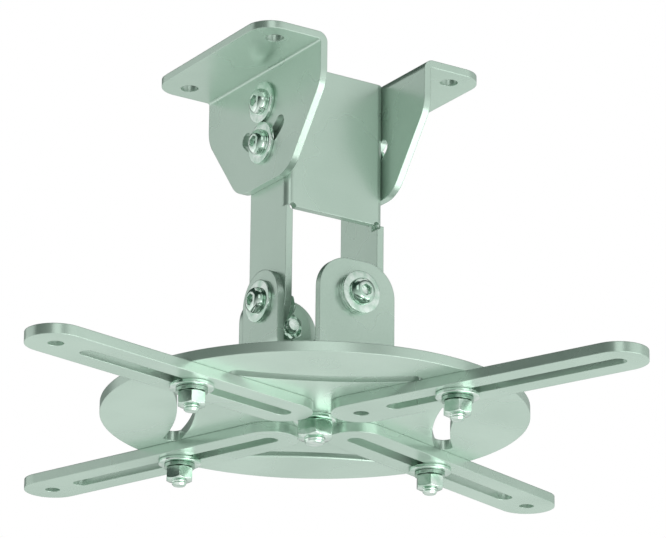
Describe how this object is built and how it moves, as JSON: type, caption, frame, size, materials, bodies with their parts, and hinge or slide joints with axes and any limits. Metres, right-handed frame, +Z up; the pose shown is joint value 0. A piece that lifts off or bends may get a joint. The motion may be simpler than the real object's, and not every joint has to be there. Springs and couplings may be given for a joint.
{
  "type": "projector ceiling mount",
  "caption": "Ceiling mount with a tilting yoke, a gimbal joint and a swivel disc that carries slotted arms for a projector.",
  "frame": {"origin": "centre of the four ceiling holes, on the ceiling plane", "axes": "+Z up to the ceiling, +X towards the right ceiling bracket, +Y away from the yoke's web"},
  "size_m": [0.2851, 0.2871, 0.1546],
  "materials": {
    "silver_paint": "semi-gloss silver paint",
    "zinc": "bright zinc plate"
  },
  "bodies": {
    "ceiling": {"ceiling_bracket_left": "silver_paint", "ceiling_bracket_right": "silver_paint", "tilt_pivot_bolts": "zinc", "tilt_pivot_washers": "zinc", "tilt_pivot_nuts": "zinc"},
    "yoke": {"yoke": "silver_paint", "tilt_lock_bolts": "zinc", "tilt_lock_washers": "zinc", "tilt_lock_nuts": "zinc", "pitch_bolts": "zinc", "pitch_washers": "zinc", "pitch_nuts": "zinc"},
    "gimbal": {"gimbal_bracket": "silver_paint", "roll_bolts": "zinc", "roll_washers": "zinc", "roll_cover_washers": "zinc", "roll_nuts": "zinc"},
    "lower": {"lower_bracket": "silver_paint", "centre_bolt": "zinc", "centre_washer": "zinc", "centre_nut": "zinc"},
    "disc": {"swivel_disc": "silver_paint"},
    "clamp_a": {"arm_bolt_a": "zinc", "arm_washer_a": "zinc", "arm_lock_washer_a": "zinc", "arm_nut_a": "zinc"},
    "arm_a": {"arm_a": "silver_paint"},
    "clamp_b": {"arm_bolt_b": "zinc", "arm_washer_b": "zinc", "arm_lock_washer_b": "zinc", "arm_nut_b": "zinc"},
    "arm_b": {"arm_b": "silver_paint"},
    "clamp_c": {"arm_bolt_c": "zinc", "arm_washer_c": "zinc", "arm_lock_washer_c": "zinc", "arm_nut_c": "zinc"},
    "arm_c": {"arm_c": "silver_paint"},
    "clamp_d": {"arm_bolt_d": "zinc", "arm_washer_d": "zinc", "arm_lock_washer_d": "zinc", "arm_nut_d": "zinc"},
    "arm_d": {"arm_d": "silver_paint"}
  },
  "joints": [
    {"name": "yoke_tilt", "type": "hinge", "parent": "ceiling", "child": "yoke", "pos_m": [0, 0, -0.016], "axis": [1, 0, 0], "range_deg": [-12, 12]},
    {"name": "pitch", "type": "hinge", "parent": "yoke", "child": "gimbal", "pos_m": [0, 0, -0.098], "axis": [1, 0, 0], "range_deg": [-20, 20]},
    {"name": "roll", "type": "hinge", "parent": "gimbal", "child": "lower", "pos_m": [0, 0, -0.098], "axis": [0, 1, 0], "range_deg": [-15, 15]},
    {"name": "swivel", "type": "hinge", "parent": "lower", "child": "disc", "pos_m": [0, 0, -0.138], "axis": [0, 0, 1], "continuous": true},
    {"name": "arm_turn_a", "type": "hinge", "parent": "disc", "child": "clamp_a", "pos_m": [-0.06708, -0.02, -0.1403], "axis": [0, 0, 1], "range_deg": [-3, 3]},
    {"name": "arm_slide_a", "type": "slide", "parent": "clamp_a", "child": "arm_a", "axis": [-0.9781, -0.2079, 0], "range_m": [0, 0.045]},
    {"name": "arm_turn_b", "type": "hinge", "parent": "disc", "child": "clamp_b", "pos_m": [-0.02, 0.06708, -0.1403], "axis": [0, 0, 1], "range_deg": [-3, 3]},
    {"name": "arm_slide_b", "type": "slide", "parent": "clamp_b", "child": "arm_b", "axis": [-0.309, 0.9511, 0], "range_m": [0, 0.044]},
    {"name": "arm_turn_c", "type": "hinge", "parent": "disc", "child": "clamp_c", "pos_m": [0.06708, 0.02, -0.1403], "axis": [0, 0, 1], "range_deg": [-3, 3]},
    {"name": "arm_slide_c", "type": "slide", "parent": "clamp_c", "child": "arm_c", "axis": [0.9455, 0.3256, 0], "range_m": [0, 0.046]},
    {"name": "arm_turn_d", "type": "hinge", "parent": "disc", "child": "clamp_d", "pos_m": [0.02, -0.06708, -0.1403], "axis": [0, 0, 1], "range_deg": [-3, 3]},
    {"name": "arm_slide_d", "type": "slide", "parent": "clamp_d", "child": "arm_d", "axis": [0.3633, -0.9317, 0], "range_m": [0, 0.027]}
  ]
}
